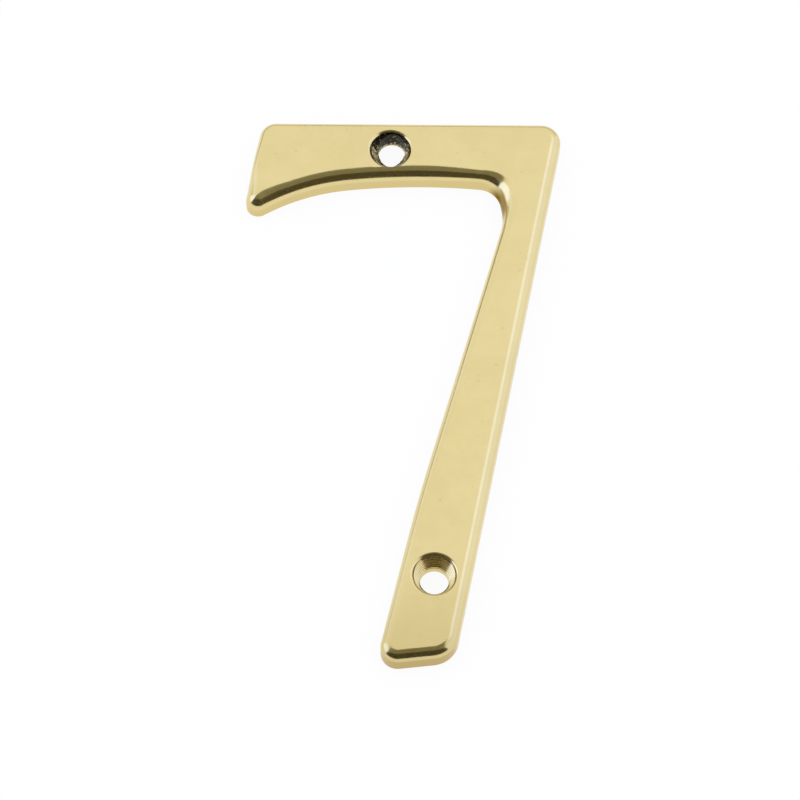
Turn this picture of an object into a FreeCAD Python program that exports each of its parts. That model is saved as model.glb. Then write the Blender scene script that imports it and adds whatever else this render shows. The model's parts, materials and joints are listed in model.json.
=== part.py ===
import FreeCAD
import Part
import math
import os

# Cast brass door numeral seven, one piece, lying on its flat back.
# X runs to the reader's right, Y up the numeral and Z out of its polished face, in millimetres and degrees.
# The outline is laid out with the upper right corner on x = 0 and the baseline on y = 0.
# The finished piece is then moved so that the middle of its back lies on the origin.

# The whole numeral
height = 76.0
thickness = 3.2
edge_round = 1.3

# The top bar, whose underside is a long arch that curls down to a tip at its left end
bar_length = 39.6
bar_depth = 8.18
bar_end_lean = 9.9
crown_inset = 18.6
arch_radius = 83.5
arch_reach = 9.7
curl_radius = 26.5

# The stem, which leans over and widens towards its foot
stem_lean = 10.85
foot_width = 9.45
foot_slope = 6.6
inner_lean_low = 12.9
inner_lean_high = 15.45
sway_height = 21.7
sway_radius = 270.0

# The throat, where the stem's inner side turns into the underside of the bar
throat_drop = 16.1
throat_radius = 10.4
throat_corner_radius = 3.1

# Corners of the flat face, inside the rounded edge
top_left_face_radius = 0.85
top_right_face_radius = 1.2
tip_face_radius = 0.25
foot_left_face_radius = 0.8
foot_right_face_radius = 2.2

# The two screw holes and their countersinks
hole_diameter = 3.55
sink_diameter = 5.5
upper_sink_angle = 60.0
lower_sink_angle = 48.0
sink_lip_radius = 0.4
sink_lip_slope = 8.0
upper_hole_inset = 22.6
upper_hole_drop = 3.6
upper_sink_shift_x = -0.2
upper_sink_shift_y = -0.7
lower_hole_height = 11.2
cutter_overrun = 1.0


def place(x, y, z=0.0):
    return FreeCAD.Vector(x, y, z)


def heading(angle):
    """Unit vector in the plane of the face, turned anticlockwise from +X."""
    return place(math.cos(math.radians(angle)), math.sin(math.radians(angle)))


def lines_meet(first_point, first_way, second_point, second_way):
    """Point where two straight lines of the outline cross."""
    gap = second_point - first_point
    cross = first_way.x * second_way.y - first_way.y * second_way.x
    along = (gap.x * second_way.y - gap.y * second_way.x) / cross
    return first_point + first_way * along


def line_enters_circle(point, way, centre, radius):
    """First point of a circle that a straight line reaches."""
    nearest = (centre - point).dot(way)
    offset = (point + way * nearest - centre).Length
    return point + way * (nearest - math.sqrt(radius ** 2 - offset ** 2))


def circles_meet_right(first_centre, first_radius, second_centre, second_radius):
    """Of the two points where two circles cross, the one to the right of the line up through their centres."""
    gap = second_centre - first_centre
    along = (first_radius ** 2 - second_radius ** 2 + gap.Length ** 2) / (2 * gap.Length)
    aside = math.sqrt(first_radius ** 2 - along ** 2)
    way = gap / gap.Length
    return first_centre + way * along + place(way.y, -way.x) * aside


def push_out(point, centre, radius):
    """Point of a circle that lies in the same direction from its centre as a given point."""
    way = point - centre
    return centre + way * (radius / way.Length)


def arc(centre, start, end):
    """Arc of less than half a circle."""
    middle = push_out((start + end) / 2, centre, (start - centre).Length)
    return Part.Arc(start, middle, end).toShape()


def line(start, end):
    return Part.LineSegment(start, end).toShape()


def inner_corner_of_foot(stem_start, stem_way):
    """Corner of the foot under the stem's inner side, whose rounding just touches the baseline."""
    radius = foot_left_face_radius + edge_round
    across = heading(-inner_lean_low)
    along = (radius - radius * across.y - stem_start.y) / stem_way.y
    rounding_centre = stem_start + stem_way * along + across * radius
    foot_point = rounding_centre + heading(foot_slope - 90) * radius
    return lines_meet(stem_start, stem_way, foot_point, heading(foot_slope))


def lay_out():
    """Named points of the outline, with its corners still sharp, and the centres of its arcs."""
    points = {}
    points["top_right"] = place(0, height)
    points["top_left"] = place(-bar_length, height)

    # Underside of the bar
    crown = place(-crown_inset, height - bar_depth)
    points["arch_centre"] = crown - place(0, arch_radius)
    arch_rise = math.sqrt(arch_radius ** 2 - arch_reach ** 2)
    points["arch_end"] = points["arch_centre"] + place(-arch_reach, arch_rise)
    inwards = (points["arch_centre"] - points["arch_end"]) / arch_radius
    points["curl_centre"] = points["arch_end"] + inwards * curl_radius
    bar_end_way = heading(-90 - bar_end_lean)
    points["tip"] = line_enters_circle(points["top_left"], bar_end_way, points["curl_centre"], curl_radius)

    # Inner side of the stem, from the foot up to the throat
    outer_way = heading(90 - stem_lean)
    low_way = heading(90 - inner_lean_low)
    high_way = heading(90 - inner_lean_high)
    baseline_right = lines_meet(points["top_right"], outer_way, place(0, 0), heading(0))
    baseline_left = baseline_right - place(foot_width, 0)
    points["foot_left"] = inner_corner_of_foot(baseline_left, low_way)
    points["foot_right"] = lines_meet(
        points["foot_left"], heading(foot_slope), points["top_right"], outer_way
    )
    bend = lines_meet(baseline_left, low_way, place(0, sway_height), heading(0))
    bend_length = sway_radius * math.tan(math.radians(inner_lean_high - inner_lean_low) / 2)
    points["sway_start"] = bend - low_way * bend_length
    points["sway_end"] = bend + high_way * bend_length
    points["sway_centre"] = points["sway_start"] + heading(-inner_lean_low) * sway_radius
    points["throat_start"] = lines_meet(bend, high_way, place(0, height - throat_drop), heading(0))
    points["throat_centre"] = points["throat_start"] + heading(180 - inner_lean_high) * throat_radius

    # Rounded corner of the throat, inside both the arch's circle and the throat's own
    points["corner_centre"] = circles_meet_right(
        points["arch_centre"],
        arch_radius - throat_corner_radius,
        points["throat_centre"],
        throat_radius - throat_corner_radius,
    )
    points["arch_start"] = push_out(points["corner_centre"], points["arch_centre"], arch_radius)
    points["throat_end"] = push_out(points["corner_centre"], points["throat_centre"], throat_radius)
    return points


def outline(points):
    """Closed outline, anticlockwise from the bar's upper left corner."""
    edges = [
        line(points["top_left"], points["tip"]),
        arc(points["curl_centre"], points["tip"], points["arch_end"]),
        arc(points["arch_centre"], points["arch_end"], points["arch_start"]),
        arc(points["corner_centre"], points["arch_start"], points["throat_end"]),
        arc(points["throat_centre"], points["throat_end"], points["throat_start"]),
        line(points["throat_start"], points["sway_end"]),
        arc(points["sway_centre"], points["sway_end"], points["sway_start"]),
        line(points["sway_start"], points["foot_left"]),
        line(points["foot_left"], points["foot_right"]),
        line(points["foot_right"], points["top_right"]),
        line(points["top_right"], points["top_left"]),
    ]
    return Part.Wire(edges)


def round_upright_edge(solid, corner, radius):
    """Round the edge that stands on one corner of the outline."""
    foot = Part.Vertex(corner)
    standing = [edge for edge in solid.Edges if edge.BoundBox.ZLength > thickness / 2]
    nearest = min(standing, key=lambda edge: edge.distToShape(foot)[0])
    return solid.makeFillet(radius, [nearest])


def blank(points):
    """Numeral without its holes: the outline raised to full thickness, with corners and front edge rounded."""
    solid = Part.Face(outline(points)).extrude(place(0, 0, thickness))
    face_radii = {
        "top_left": top_left_face_radius,
        "tip": tip_face_radius,
        "foot_left": foot_left_face_radius,
        "foot_right": foot_right_face_radius,
        "top_right": top_right_face_radius,
    }
    for corner, face_radius in face_radii.items():
        solid = round_upright_edge(solid, points[corner], face_radius + edge_round)
    front = max(solid.Faces, key=lambda face: face.CenterOfMass.z)
    return solid.makeFillet(edge_round, front.OuterWire.Edges)


def drill(centre):
    """Plain hole right through the metal."""
    length = thickness + 2 * cutter_overrun
    return Part.makeCylinder(hole_diameter / 2, length, centre - place(0, 0, cutter_overrun))


def countersink(centre, sink_angle):
    """Cone for the screw's head, flared at its mouth where polishing has turned the rim over."""
    half_angle = math.radians(sink_angle / 2)
    slope = math.radians(sink_lip_slope)
    sink_radius = sink_diameter / 2
    apex = place(0, 0, thickness - sink_radius / math.tan(half_angle))
    setback = sink_lip_radius * (math.cos(slope) - math.sin(half_angle)) / math.cos(half_angle)
    lip_reach = sink_radius - setback * math.sin(half_angle) + sink_lip_radius * math.cos(half_angle)
    lip_centre = place(lip_reach, 0, thickness - sink_lip_radius * math.cos(slope))
    lip_start = lip_centre + place(-math.cos(half_angle), 0, math.sin(half_angle)) * sink_lip_radius
    lip_end = lip_centre + place(0, 0, sink_lip_radius)
    above = thickness + cutter_overrun
    profile = Part.Wire([
        line(apex, lip_start),
        arc(lip_centre, lip_start, lip_end),
        line(lip_end, place(lip_end.x, 0, above)),
        line(place(lip_end.x, 0, above), place(0, 0, above)),
        line(place(0, 0, above), apex),
    ])
    cutter = Part.Face(profile).revolve(place(0, 0), place(0, 0, 1), 360)
    cutter.translate(centre)
    return cutter


def hole_centres(points):
    """Upper hole in the bar, and lower hole in the middle of the stem's width."""
    upper = place(-upper_hole_inset, height - upper_hole_drop)
    level = place(0, lower_hole_height)
    across = heading(0)
    left = lines_meet(points["foot_left"], heading(90 - inner_lean_low), level, across)
    right = lines_meet(points["top_right"], heading(90 - stem_lean), level, across)
    return upper, (left + right) / 2


points = lay_out()
upper_hole, lower_hole = hole_centres(points)
upper_sink = upper_hole + place(upper_sink_shift_x, upper_sink_shift_y)
numeral = blank(points)
cutters = [
    drill(upper_hole),
    countersink(upper_sink, upper_sink_angle),
    drill(lower_hole),
    countersink(lower_hole, lower_sink_angle),
]
for cutter in cutters:
    numeral = numeral.cut(cutter)
numeral = numeral.removeSplitter()

middle = numeral.BoundBox.Center
numeral.translate(place(-middle.x, -middle.y))

os.makedirs("parts", exist_ok=True)
numeral.exportStep("parts/numeral.step")
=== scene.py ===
"""Polished brass door numeral, a seven lying on its back, dressed for the photograph's view."""

import json
import math

import bmesh
import bpy
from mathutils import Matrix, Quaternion, Vector


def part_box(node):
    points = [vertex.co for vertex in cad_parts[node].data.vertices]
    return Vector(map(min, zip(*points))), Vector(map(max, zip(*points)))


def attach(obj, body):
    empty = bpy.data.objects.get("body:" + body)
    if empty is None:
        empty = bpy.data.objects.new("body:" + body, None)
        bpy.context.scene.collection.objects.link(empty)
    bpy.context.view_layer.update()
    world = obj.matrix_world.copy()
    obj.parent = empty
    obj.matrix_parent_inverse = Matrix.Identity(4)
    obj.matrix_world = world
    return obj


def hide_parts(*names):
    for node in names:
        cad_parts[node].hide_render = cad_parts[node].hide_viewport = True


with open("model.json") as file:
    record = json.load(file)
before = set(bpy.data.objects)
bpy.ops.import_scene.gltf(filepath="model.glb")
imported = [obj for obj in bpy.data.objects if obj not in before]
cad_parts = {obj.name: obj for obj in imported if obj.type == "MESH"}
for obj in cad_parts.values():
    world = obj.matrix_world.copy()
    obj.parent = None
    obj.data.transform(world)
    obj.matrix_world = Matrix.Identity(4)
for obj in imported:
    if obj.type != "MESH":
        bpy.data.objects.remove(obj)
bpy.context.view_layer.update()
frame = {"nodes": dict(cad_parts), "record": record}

# Numeral: sizes of the solid that its mesh alone does not give, in metres and degrees.
edge_round = 0.0013
sink_diameter = 0.0055
upper_sink_angle = 60.0
lower_sink_angle = 48.0
sink_lip_radius = 0.0004
sink_lip_slope = 8.0
upper_sink_shift = Vector((-0.0002, -0.0007, 0.0))
lower_sink_shift = Vector((0.0, 0.0, 0.0))
cutter_overrun = 0.001

# Hand polishing: how much it has added to the front edge's radius, or taken from it.
arch_extra_round = 0.0004
tip_extra_round = 0.0007
throat_extra_round = 0.0008
end_less_round = 0.0004

# Where each of these changes starts and where it is full: distances, places or shares of a direction.
throat_place = Vector((0.0128, 0.0273))
throat_reach = (0.004, 0.001)
tip_reach = (0.0065, 0.002)
bar_levels = (0.018, 0.022)
arch_facing = (0.3, 0.9)
arch_reach = (0.012, 0.002)
end_facing = (0.5, 0.95)
end_reach = (-0.012, -0.016)
end_levels = (0.0365, 0.0325)

# Largest radius that the outline has in the tip's small corner.
tip_corner_limit = 0.0018

# Steps left by the turning tool on the cones.
ring_pitch = 0.00036
ring_slope = 30.0

# Fineness of the numeral's mesh.
same_point = 0.000002
no_length = 0.0000002
flat_limit = 0.999
straight_turn = 1e-6
longest_step = 0.0012
largest_turn = math.radians(2.5)
round_steps = 14
drill_segments = 113
sink_segments = 128
lip_steps = 6
crease_angle = math.radians(25.0)

# Metal: its tones, and where on the numeral they change, in metres.
light_brass = (0.772, 0.653, 0.313, 1.0)
deep_brass = (0.742, 0.62, 0.288, 1.0)
low_brass = (0.67, 0.555, 0.25, 1.0)
# Wall tones are partly duller bare metal and partly painted shade of the floor's contact shadow that the
# walls mirror; the foot is darkest.
wall_brass_and_painted_shade = (0.71, 0.57, 0.25, 1.0)
foot_wall_painted_shade = (0.51, 0.375, 0.14, 1.0)
# The throat brown, and the dulled edge tint below, are a painted dark reflection on the throat's steep wall.
throat_painted_reflection_brown = (0.25, 0.165, 0.05, 1.0)
speck_brown = (0.25, 0.18, 0.07, 1.0)
pale_gleam = (1.0, 0.96, 0.86, 1.0)
throat_painted_reflection_tint = (0.5, 0.36, 0.13, 1.0)
# Bore tones: the near-black is partly unpolished metal and partly a painted dark reflection; the flecks are
# pits and painted glints.
raw_and_painted_dark = (0.022, 0.018, 0.01, 1.0)
fleck_and_glint_brass = (0.6, 0.49, 0.22, 1.0)
low_face_levels = (-0.024, -0.038)
foot_wall_shade_levels = (-0.0335, -0.0365)
# Where the throat's painted brown reflection sits and how far it reaches.
throat_reflection_place = Vector((0.013, 0.0262, 0.0))
throat_reflection_reach = (0.0038, 0.0021)
# Where the bore's painted glints grow: towards its south side and low in the hole.
south_glint_start = 0.0012
south_glint_full = -0.0008
low_glint_heights = (0.0011, 0.0001)

# Metal: its relief, in metres, and its lacquer.
polish_depth = 0.00001
pit_depth = 0.00008
relief_strength = 0.3
noise_roughness = 0.6
lacquer_weight = 0.5
lacquer_roughness = 0.08

# Camera, in metres and degrees, with its lens in millimetres. It leans from upright.
camera_lean = 26.68
camera_roll = 0.4
camera_distance = 0.418
camera_target = Vector((-0.00026, -0.00137, 0.0))
camera_lens = 148.5
camera_nearest = 0.01

# Studio, in metres and degrees.
white = (1.0, 1.0, 1.0, 1.0)
floor_radius = 4.0
floor_gap = 0.0001
floor_segments = 96
floor_tone = (0.95, 0.95, 0.95, 1.0)
floor_glow_seen = 0.92
floor_glow_mirrored = 0.85
canopy_height = 1.5
canopy_front = 0.36
canopy_front_half_width = 0.3
canopy_tone = (0.24, 0.222, 0.14, 1.0)
curtain_distance = 0.94
curtain_west = -2.4
curtain_east = 1.3
curtain_tone = (0.082, 0.07, 0.04, 1.0)
screen_radius = 1.6
screen_height = 0.3
screen_start = 45.0
screen_end = 150.0
screen_fade = 138.0
screen_segments = 48
screen_tone = (0.48, 0.44, 0.33, 1.0)


def back_outline(node):
    """Points of the solid's outer edge where its back lies on the floor, counter-clockwise."""
    solid = bmesh.new()
    solid.from_mesh(node.data)
    bmesh.ops.remove_doubles(solid, verts=solid.verts, dist=same_point)
    back = {face for face in solid.faces if face.normal.z < -flat_limit}
    following = {}
    for face in back:
        for corner in face.loops:
            if sum(other in back for other in corner.edge.link_faces) == 1:
                following[corner.link_loop_next.vert] = corner.vert
    start = min(following, key=lambda vertex: vertex.co.y)
    points = [start.co.to_2d()]
    vertex = following[start]
    while vertex != start:
        points.append(vertex.co.to_2d())
        vertex = following[vertex]
    solid.free()
    return points


def bend(first, second):
    """Left turn from one plan direction to another, in radians."""
    return math.atan2(first.cross(second), first.dot(second))


def smooth_outline(corners):
    """Outline points, outward directions and radii, with each step bowed so that no kinks are left.

    The longest step is the stem's straight outer side. From there on, each step is the arc that
    leaves its neighbour without a kink, and straight lines come out as arcs that turn by nothing.
    """
    count = len(corners)
    steps = [corners[(i + 1) % count] - corners[i] for i in range(count)]
    longest = max(range(count), key=lambda i: steps[i].length)
    turn = 0.0
    outline = []
    for i in range(longest, longest + count):
        step = steps[i % count]
        if i > longest:
            turn = 2 * bend(steps[(i - 1) % count], step) - turn
        start_angle = math.atan2(step.y, step.x) - turn / 2
        radius = math.inf
        if turn > straight_turn:
            radius = step.length / 2 / math.sin(turn / 2)
        pieces = max(math.ceil(step.length / longest_step), math.ceil(abs(turn) / largest_turn))
        for k in range(pieces):
            share = k / pieces
            turned = turn * share
            reach = share
            if abs(turn) > straight_turn:
                reach = math.sin(turned / 2) / math.sin(turn / 2)
            angle = start_angle + turned / 2
            point = corners[i % count] + Vector((math.cos(angle), math.sin(angle))) * (step.length * reach)
            outward = Vector((math.sin(start_angle + turned), -math.cos(start_angle + turned)))
            outline.append((point, outward, radius))
    return outline


def eased(value, start, end):
    """Rises smoothly from 0 at start to 1 at end."""
    share = min(max((value - start) / (end - start), 0.0), 1.0)
    return share * share * (3 - 2 * share)


def local_round(point, outward, tip):
    """Radius of the front edge at a point of the outline.

    It is fuller under the arch, at the arch's tip and in the throat, and tighter on the bar's end.
    """
    near_throat = eased((point - throat_place).length, *throat_reach)
    near_tip = eased((point - tip).length, *tip_reach)
    on_bar = eased(point.y, *bar_levels)
    under_arch = eased(-outward.y, *arch_facing) * eased(point.x, *arch_reach) * on_bar
    on_end = eased(-outward.x, *end_facing) * eased(point.x, *end_reach) * eased(point.y, *end_levels)
    change = max(arch_extra_round * under_arch, throat_extra_round * near_throat) - end_less_round * on_end
    change += (tip_extra_round - change) * near_tip
    return edge_round + change


def tip_middle(outline):
    """Number of the outline point in the middle of the tip's small corner."""
    count = len(outline)
    first = min(range(count), key=lambda i: outline[i][0].x)
    last = first
    while outline[(first - 1) % count][2] < tip_corner_limit:
        first -= 1
    while outline[(last + 1) % count][2] < tip_corner_limit:
        last += 1
    return (first + last + 1) // 2 % count


def beside_tip(point, outline, middle):
    """How far a plan point lies to the left of the line that runs outward through the tip."""
    place, outward = outline[middle][:2]
    return outward.cross(point - place)


def mitred(ring, outline, middle):
    """Ring of the rounded edge whose two flanks stop where they meet behind the tip."""
    count = len(outline)
    asides = [beside_tip(point.to_2d(), outline, middle) for point in ring]
    crossed = [asides[i] * beside_tip(outline[i][0], outline, middle) < 0 for i in range(count)]
    last = 0
    while crossed[(middle + last + 1) % count]:
        last += 1
    first = 0
    while crossed[(middle - first - 1) % count]:
        first += 1
    if first + last == 0:
        return ring
    meetings = []
    for inside, outside in ((middle + last, middle + last + 1), (middle - first, middle - first - 1)):
        inside %= count
        outside %= count
        share = asides[inside] / (asides[inside] - asides[outside])
        meetings.append(ring[inside].lerp(ring[outside], share))
    meeting = (meetings[0] + meetings[1]) / 2
    for i in range(middle - first, middle + last + 1):
        ring[i % count] = meeting
    return ring


def new_object(name, vertices, faces):
    """Mesh object in the scene, made from points and faces."""
    mesh = bpy.data.meshes.new(name)
    mesh.from_pydata(vertices, [], faces)
    mesh.validate()
    made = bpy.data.objects.new(name, mesh)
    bpy.context.scene.collection.objects.link(made)
    return made


def merge_points(piece):
    """Joins a piece's points that coincide, and takes out the faces that this leaves without area."""
    work = bmesh.new()
    work.from_mesh(piece.data)
    bmesh.ops.remove_doubles(work, verts=work.verts, dist=same_point)
    bmesh.ops.dissolve_degenerate(work, edges=work.edges, dist=no_length)
    work.to_mesh(piece.data)
    work.free()


def blank_numeral(name, outline, thickness):
    """Numeral with its rounded front edge and no holes yet."""
    count = len(outline)
    middle = tip_middle(outline)
    tip = outline[middle][0]
    vertices = [step[0].to_3d() for step in outline]
    for k in range(round_steps + 1):
        angle = math.pi / 2 * k / round_steps
        ring = []
        for step in outline:
            point, outward = step[:2]
            radius = local_round(point, outward, tip)
            place = (point - outward * (radius * (1 - math.cos(angle)))).to_3d()
            place.z = thickness - radius * (1 - math.sin(angle))
            ring.append(place)
        vertices.extend(mitred(ring, outline, middle))
    rings = round_steps + 2
    faces = [tuple(reversed(range(count)))]
    for row in range(rings - 1):
        for i in range(count):
            here = row * count + i
            beside = row * count + (i + 1) % count
            faces.append((here, beside, beside + count, here + count))
    faces.append(tuple(range((rings - 1) * count, rings * count)))
    made = new_object(name, vertices, faces)
    merge_points(made)
    return made


def spun_cutter(name, profile, centre, segments):
    """Closed body turned from (radius, height) pairs that start and end on the axis."""
    inner = profile[1:-1]
    vertices = [(centre.x, centre.y, profile[0][1]), (centre.x, centre.y, profile[-1][1])]
    for i in range(segments):
        angle = 2 * math.pi * i / segments
        for radius, level in inner:
            vertices.append((centre.x + radius * math.cos(angle), centre.y + radius * math.sin(angle), level))
    faces = []
    rows = len(inner)
    for i in range(segments):
        here = 2 + i * rows
        beside = 2 + (i + 1) % segments * rows
        faces.append((0, beside, here))
        for row in range(rows - 1):
            faces.append((here + row, beside + row, beside + row + 1, here + row + 1))
        faces.append((1, here + rows - 1, beside + rows - 1))
    return new_object(name, vertices, faces)


def drill_profile(radius, thickness):
    """Straight hole through the numeral."""
    below = -cutter_overrun
    above = thickness + cutter_overrun
    return [(0.0, below), (radius, below), (radius, above), (0.0, above)]


def sink_profile(thickness, sink_angle):
    """Cone for the screw's head, turned in fine steps, whose rim rolls over where it meets the face."""
    half_angle = math.radians(sink_angle / 2)
    slope = math.radians(sink_lip_slope)
    sink_radius = sink_diameter / 2
    setback = sink_lip_radius * (math.cos(slope) - math.sin(half_angle)) / math.cos(half_angle)
    lip_reach = sink_radius - setback * math.sin(half_angle) + sink_lip_radius * math.cos(half_angle)
    lip_level = thickness - sink_lip_radius * math.cos(slope)
    above = thickness + cutter_overrun
    profile = [(0.0, thickness - sink_radius / math.tan(half_angle))]
    ring_reach = ring_pitch * math.sin(half_angle)
    ring_rise = ring_pitch * math.cos(half_angle)
    riser = ring_rise - ring_reach * math.tan(math.radians(ring_slope))
    rings = int((sink_radius / math.sin(half_angle) - setback) / ring_pitch)
    for k in range(1, rings):
        radius = ring_reach * k + riser * math.tan(half_angle) / 2
        level = profile[0][1] + ring_rise * k
        profile.append((radius, level))
        profile.append((radius, level + riser))
    for k in range(lip_steps + 1):
        angle = half_angle + (math.pi / 2 - half_angle) * k / lip_steps
        radius = lip_reach - sink_lip_radius * math.cos(angle)
        profile.append((radius, lip_level + sink_lip_radius * math.sin(angle)))
    profile.append((lip_reach, above))
    profile.append((0.0, above))
    return profile


def cut_away(piece, cutter):
    """Takes a cutter's body out of a piece and removes the cutter."""
    cut = piece.modifiers.new(cutter.name, "BOOLEAN")
    cut.operation = "DIFFERENCE"
    cut.solver = "EXACT"
    cut.material_mode = "TRANSFER"
    cut.object = cutter
    graph = bpy.context.evaluated_depsgraph_get()
    result = bpy.data.meshes.new_from_object(piece.evaluated_get(graph))
    piece.modifiers.remove(cut)
    plain = piece.data
    piece.data = result
    bpy.data.meshes.remove(plain)
    spent = cutter.data
    bpy.data.objects.remove(cutter)
    bpy.data.meshes.remove(spent)


def node_in(tree, kind, values=None):
    """New shader node with its unlinked inputs set by name or number."""
    made = tree.nodes.new(kind)
    for key, value in (values or {}).items():
        made.inputs[key].default_value = value
    return made


def empty_material(name):
    """Material with only its output node left, and that node."""
    material = bpy.data.materials.new(name)
    material.use_nodes = True
    material.node_tree.nodes.clear()
    return material, material.node_tree.nodes.new("ShaderNodeOutputMaterial")


def noise(tree, place, scale, detail):
    """Noise value that follows the given coordinates."""
    made = node_in(tree, "ShaderNodeTexNoise", {
        "Scale": scale, "Detail": detail, "Roughness": noise_roughness,
    })
    tree.links.new(place, made.inputs["Vector"])
    return made.outputs["Fac"]


def stretched(tree, place, scale):
    """Coordinates pulled out along some axes, for marks that run one way."""
    made = node_in(tree, "ShaderNodeMapping", {"Scale": scale})
    tree.links.new(place, made.inputs["Vector"])
    return made.outputs["Vector"]


def split(tree, vector):
    """Outputs X, Y and Z of a vector."""
    made = tree.nodes.new("ShaderNodeSeparateXYZ")
    tree.links.new(vector, made.inputs["Vector"])
    return made.outputs


def ranged(tree, value, source, target=(0.0, 1.0)):
    """Value moved from one range to another, smoothly and held at both ends."""
    made = node_in(tree, "ShaderNodeMapRange", {
        "From Min": source[0], "From Max": source[1], "To Min": target[0], "To Max": target[1],
    })
    made.interpolation_type = "SMOOTHSTEP"
    tree.links.new(value, made.inputs["Value"])
    return made.outputs["Result"]


def combined(tree, operation, first, second):
    """One value made from two, by the named operation."""
    made = tree.nodes.new("ShaderNodeMath")
    made.operation = operation
    tree.links.new(first, made.inputs[0])
    tree.links.new(second, made.inputs[1])
    return made.outputs["Value"]


def blend(tree, factor, first, second):
    """Colour that goes from the first to the second as the factor rises; either may be a socket."""
    made = tree.nodes.new("ShaderNodeMix")
    made.data_type = "RGBA"
    tree.links.new(factor, made.inputs["Factor"])
    for key, colour in (("A", first), ("B", second)):
        if isinstance(colour, tuple):
            made.inputs[key].default_value = colour
        else:
            tree.links.new(colour, made.inputs[key])
    return made.outputs["Result"]


def mixed_shaders(tree, factor, first, second):
    """Shader that goes from the first to the second as the factor rises."""
    made = tree.nodes.new("ShaderNodeMixShader")
    tree.links.new(factor, made.inputs["Fac"])
    tree.links.new(first, made.inputs[1])
    tree.links.new(second, made.inputs[2])
    return made.outputs["Shader"]


def metal_shader(tree, output, tone, polish, marks, mark_depth):
    """Bare metal with the given tone, roughness and fine relief."""
    shader = node_in(tree, "ShaderNodeBsdfPrincipled", {"Metallic": 1.0})
    tree.links.new(tone, shader.inputs["Base Color"])
    tree.links.new(polish, shader.inputs["Roughness"])
    bump = node_in(tree, "ShaderNodeBump", {"Strength": relief_strength, "Distance": mark_depth})
    tree.links.new(marks, bump.inputs["Height"])
    tree.links.new(bump.outputs["Normal"], shader.inputs["Normal"])
    tree.links.new(shader.outputs["BSDF"], output.inputs["Surface"])
    return shader


def throat_painted_reflection(tree, place, upward):
    """How strongly the steep parts of the throat carry a painted brown reflection."""
    distance = node_in(tree, "ShaderNodeVectorMath", {1: throat_reflection_place})
    distance.operation = "DISTANCE"
    tree.links.new(place, distance.inputs[0])
    steep = ranged(tree, upward, (0.75, 0.5), (0.0, 0.85))
    near = ranged(tree, distance.outputs["Value"], throat_reflection_reach)
    return combined(tree, "MULTIPLY", steep, near)


def polished_brass():
    """Lacquered brass with faint clouds, polishing marks and specks.

    Its face is deeper in tone towards the foot. Its walls are bare and darker, most at the foot, partly from
    duller metal and partly as painted shade of the shadowed floor that they mirror, and its throat carries a
    painted brown reflection.
    """
    material, output = empty_material("polished_brass")
    tree = material.node_tree
    coordinates = tree.nodes.new("ShaderNodeTexCoord")
    place = coordinates.outputs["Object"]
    level = split(tree, place)["Y"]
    upward = split(tree, coordinates.outputs["Normal"])["Z"]
    side = ranged(tree, upward, (0.3, 0.0))
    throat_reflection = throat_painted_reflection(tree, place, upward)

    clouds = ranged(tree, noise(tree, place, 190.0, 4.0), (0.35, 0.7))
    specks = ranged(tree, noise(tree, place, 1700.0, 0.0), (0.81, 0.84), (0.0, 0.12))
    # Painted shade on the walls, deepest at the foot, over partly duller metal.
    walls = blend(tree, ranged(tree, level, foot_wall_shade_levels), wall_brass_and_painted_shade, foot_wall_painted_shade)
    tone = blend(tree, clouds, light_brass, deep_brass)
    tone = blend(tree, ranged(tree, level, low_face_levels), tone, low_brass)
    tone = blend(tree, side, tone, walls)
    # Painted dark reflection on the throat's steep wall.
    tone = blend(tree, throat_reflection, tone, throat_painted_reflection_brown)
    tone = blend(tree, specks, tone, speck_brown)

    haze = ranged(tree, noise(tree, place, 700.0, 5.0), (0.3, 0.75), (0.15, 0.21))
    marks = noise(tree, stretched(tree, place, (300.0, 5200.0, 900.0)), 1.0, 2.0)
    shader = metal_shader(tree, output, tone, haze, marks, polish_depth)
    lacquer = ranged(tree, side, (0.0, 1.0), (lacquer_weight, 0.0))
    tree.links.new(lacquer, shader.inputs["Coat Weight"])
    shader.inputs["Coat Roughness"].default_value = lacquer_roughness
    # Edge tint dulled under the throat's painted dark reflection.
    gleam = blend(tree, throat_reflection, pale_gleam, throat_painted_reflection_tint)
    tree.links.new(gleam, shader.inputs["Specular Tint"])
    return material


def raw_brass_with_painted_reflection(level):
    """Drilled brass that no wheel has reached, around a hole at the given level up the numeral.

    It is dark and pitted, partly unpolished metal and partly a painted dark reflection, with bright flecks
    that grow low in the hole and on its south side as a painted golden reflection.
    """
    material, output = empty_material("raw_bore")
    tree = material.node_tree
    place = tree.nodes.new("ShaderNodeTexCoord").outputs["Object"]
    across = split(tree, place)
    # The flecks grow towards the south and low in the hole as a painted golden reflection.
    south = ranged(tree, across["Y"], (level + south_glint_start, level + south_glint_full), (0.0, 0.22))
    deep = ranged(tree, across["Z"], low_glint_heights, (0.0, 0.24))
    lift = combined(tree, "ADD", south, deep)
    speckle = combined(tree, "ADD", noise(tree, place, 3000.0, 3.0), lift)
    flecks = ranged(tree, speckle, (0.56, 0.84))
    tone = blend(tree, flecks, raw_and_painted_dark, fleck_and_glint_brass)
    haze = ranged(tree, flecks, (0.0, 1.0), (0.5, 0.3))
    metal_shader(tree, output, tone, haze, noise(tree, place, 4000.0, 3.0), pit_depth)
    return material


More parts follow.
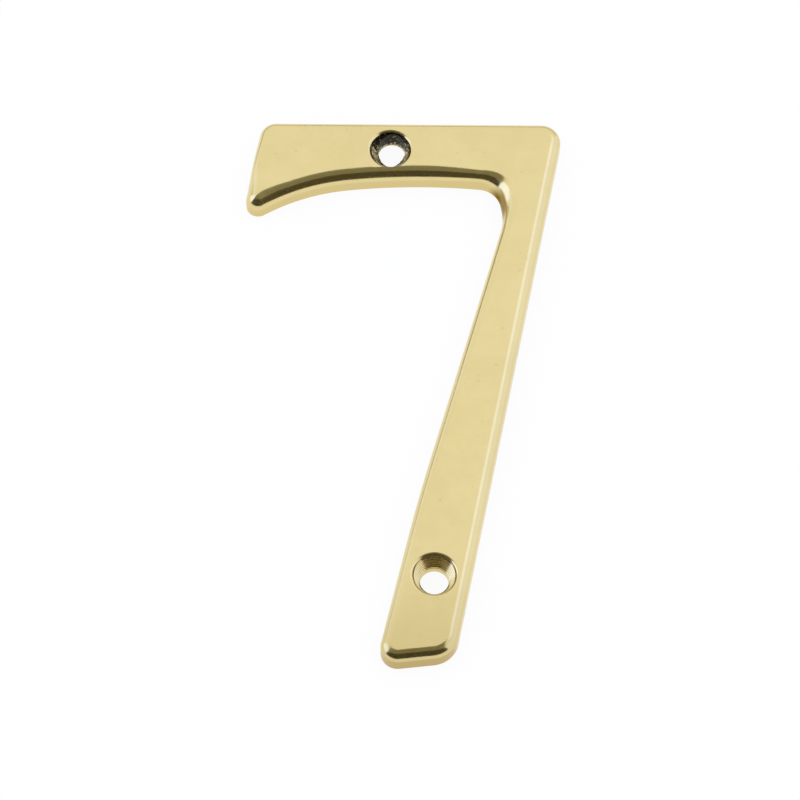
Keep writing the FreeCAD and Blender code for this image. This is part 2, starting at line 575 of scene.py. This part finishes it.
def floor_material():
    """Pale floor that looks nearly white, also in reflections, with a faint shadow left on it."""
    material, output = empty_material("pale_floor")
    tree = material.node_tree
    matt = node_in(tree, "ShaderNodeBsdfDiffuse", {"Color": floor_tone})
    glow = node_in(tree, "ShaderNodeEmission", {"Color": white, "Strength": 1.0})
    path = tree.nodes.new("ShaderNodeLightPath").outputs
    seen = ranged(tree, path["Is Camera Ray"], (0.0, 1.0), (0.0, floor_glow_seen))
    mirrored = ranged(tree, path["Is Glossy Ray"], (0.0, 1.0), (0.0, floor_glow_mirrored))
    share = combined(tree, "MAXIMUM", seen, mirrored)
    surface = mixed_shaders(tree, share, matt.outputs["BSDF"], glow.outputs["Emission"])
    tree.links.new(surface, output.inputs["Surface"])
    return material


def cloth_material(name, shade):
    """Dark studio cloth."""
    material, output = empty_material(name)
    tree = material.node_tree
    matt = node_in(tree, "ShaderNodeBsdfDiffuse", {"Color": shade})
    tree.links.new(matt.outputs["BSDF"], output.inputs["Surface"])
    return material


def screen_material(shade):
    """Pale cloth that thins out to nothing at its western end."""
    material, output = empty_material("pale_cloth")
    tree = material.node_tree
    place = tree.nodes.new("ShaderNodeTexCoord").outputs["Object"]
    fade = screen_radius * math.cos(math.radians(screen_fade))
    end = screen_radius * math.cos(math.radians(screen_end))
    thinness = ranged(tree, split(tree, place)["X"], (fade, end))
    matt = node_in(tree, "ShaderNodeBsdfDiffuse", {"Color": shade})
    clear = tree.nodes.new("ShaderNodeBsdfTransparent")
    surface = mixed_shaders(tree, thinness, matt.outputs["BSDF"], clear.outputs["BSDF"])
    tree.links.new(surface, output.inputs["Surface"])
    return material


def stage_panel(name, corners, material, faces=None):
    """Studio panel that only the metal's reflections see."""
    panel = new_object(name, corners, faces or [tuple(range(len(corners)))])
    panel.data.materials.append(material)
    panel.visible_camera = False
    panel.visible_diffuse = False
    panel.visible_shadow = False


def lamp(name, place, aim, size, colour):
    """Soft lamp whose face adds its colour to the white studio behind it."""
    data = bpy.data.lights.new(name, "AREA")
    data.shape = "RECTANGLE"
    data.size = size[0]
    data.size_y = size[1]
    data.color = colour
    data.energy = math.pi * size[0] * size[1]
    made = bpy.data.objects.new(name, data)
    made.location = place
    made.rotation_mode = "QUATERNION"
    made.rotation_quaternion = (Vector(place) - Vector(aim)).to_track_quat("Z", "Y")
    bpy.context.scene.collection.objects.link(made)


# Numeral.
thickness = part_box("numeral")[1].z
mounts = {mount["name"]: mount for mount in frame["record"]["mounts"]}
polished = polished_brass()
raw_with_painted_reflection = raw_brass_with_painted_reflection(mounts["upper_screw_hole"]["pos_m"][1])
numeral_outline = smooth_outline(back_outline(frame["nodes"]["numeral"]))
numeral = blank_numeral("numeral_polished", numeral_outline, thickness)
numeral.data.materials.append(polished)
holes = [
    ("upper", upper_sink_shift, upper_sink_angle, raw_with_painted_reflection),
    ("lower", lower_sink_shift, lower_sink_angle, polished),
]
for name, shift, sink_angle, finish in holes:
    mount = mounts[name + "_screw_hole"]
    centre = Vector(mount["pos_m"])
    drill_radius = mount["dims"]["r_mm"] / 1000
    drill = spun_cutter(name + "_drill", drill_profile(drill_radius, thickness), centre, drill_segments)
    profile = sink_profile(thickness, sink_angle)
    sink = spun_cutter(name + "_sink", profile, centre + shift, sink_segments)
    for cutter in (drill, sink):
        cutter.data.materials.append(finish)
    # The rim that rolls over is polished in both holes.
    rim_level = profile[-lip_steps - 3][1]
    sink.data.materials.append(polished)
    for face in sink.data.polygons:
        if face.center.z > rim_level:
            face.material_index = 1
    for cutter in (drill, sink):
        cut_away(numeral, cutter)
merge_points(numeral)
numeral.data.polygons.foreach_set("use_smooth", [True] * len(numeral.data.polygons))
numeral.data.set_sharp_from_angle(angle=crease_angle)
even = numeral.modifiers.new("even_shading", "WEIGHTED_NORMAL")
even.keep_sharp = True
even.mode = "FACE_AREA"
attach(numeral, "root")
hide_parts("numeral")

# Floor.
floor_points = []
for i in range(floor_segments):
    angle = 2 * math.pi * i / floor_segments
    floor_points.append((floor_radius * math.cos(angle), floor_radius * math.sin(angle), -floor_gap))
floor = new_object("floor", floor_points, [tuple(range(floor_segments))])
floor.data.materials.append(floor_material())

# Cloths that the polished metal mirrors.
stage_panel("canopy", [
    (curtain_west, -curtain_distance, canopy_height),
    (curtain_east, -curtain_distance, canopy_height),
    (canopy_front_half_width, canopy_front, canopy_height),
    (-canopy_front_half_width, canopy_front, canopy_height),
], cloth_material("grey_cloth", canopy_tone))
stage_panel("curtain", [
    (curtain_west, -curtain_distance, 0.0),
    (curtain_east, -curtain_distance, 0.0),
    (curtain_east, -curtain_distance, canopy_height),
    (curtain_west, -curtain_distance, canopy_height),
], cloth_material("dark_cloth", curtain_tone))
screen_points = []
for i in range(screen_segments + 1):
    angle = math.radians(screen_start + (screen_end - screen_start) * i / screen_segments)
    for level in (0.0, screen_height):
        screen_points.append((screen_radius * math.cos(angle), screen_radius * math.sin(angle), level))
screen_faces = [(2 * i, 2 * i + 1, 2 * i + 3, 2 * i + 2) for i in range(screen_segments)]
stage_panel("screen", screen_points, screen_material(screen_tone), screen_faces)

# Lamps.
lamp(
    "key", place=(0.72, 0.75, 1.5), aim=(0.72, 0.75, 0.0),
    size=(0.5, 0.9), colour=(0.12, 0.15, 0.4),
)
lamp(
    "key_fringe", place=(0.85, 0.75, 1.6), aim=(0.85, 0.75, 0.0),
    size=(1.2, 1.1), colour=(0.1, 0.14, 0.4),
)
lamp(
    "east", place=(1.7, 0.3, 0.8), aim=(0.0, 0.3, 0.8),
    size=(3.0, 1.6), colour=(0.03, 0.07, 0.28),
)
lamp(
    "north", place=(0.0, 0.76, 1.5), aim=(0.0, 0.76, 0.0),
    size=(3.0, 0.26), colour=(0.05, 0.05, 0.06),
)
lamp(
    "south_west", place=(-1.6, 0.075, 1.1), aim=(0.0, 0.075, 1.1),
    size=(1.35, 2.0), colour=(0.27, 0.36, 0.85),
)
lamp(
    "west", place=(-1.7, 0.3, 1.0), aim=(0.0, 0.3, 1.0),
    size=(3.0, 1.4), colour=(0.03, 0.07, 0.28),
)

world = bpy.data.worlds.new("white_studio")
world.use_nodes = True
backdrop = world.node_tree.nodes["Background"]
backdrop.inputs["Color"].default_value = white
backdrop.inputs["Strength"].default_value = 1.0
bpy.context.scene.world = world

# Camera.
lean = math.radians(camera_lean)
back = Vector((0.0, -math.sin(lean), math.cos(lean)))
roll = Quaternion((0.0, 0.0, 1.0), math.radians(camera_roll))
camera_data = bpy.data.cameras.new("camera")
camera_data.lens = camera_lens
camera_data.clip_start = camera_nearest
camera = bpy.data.objects.new("camera", camera_data)
camera.location = camera_target + back * camera_distance
camera.rotation_mode = "QUATERNION"
camera.rotation_quaternion = back.to_track_quat("Z", "Y") @ roll
bpy.context.scene.collection.objects.link(camera)
bpy.context.scene.camera = camera
bpy.context.scene.view_settings.view_transform = "Standard"
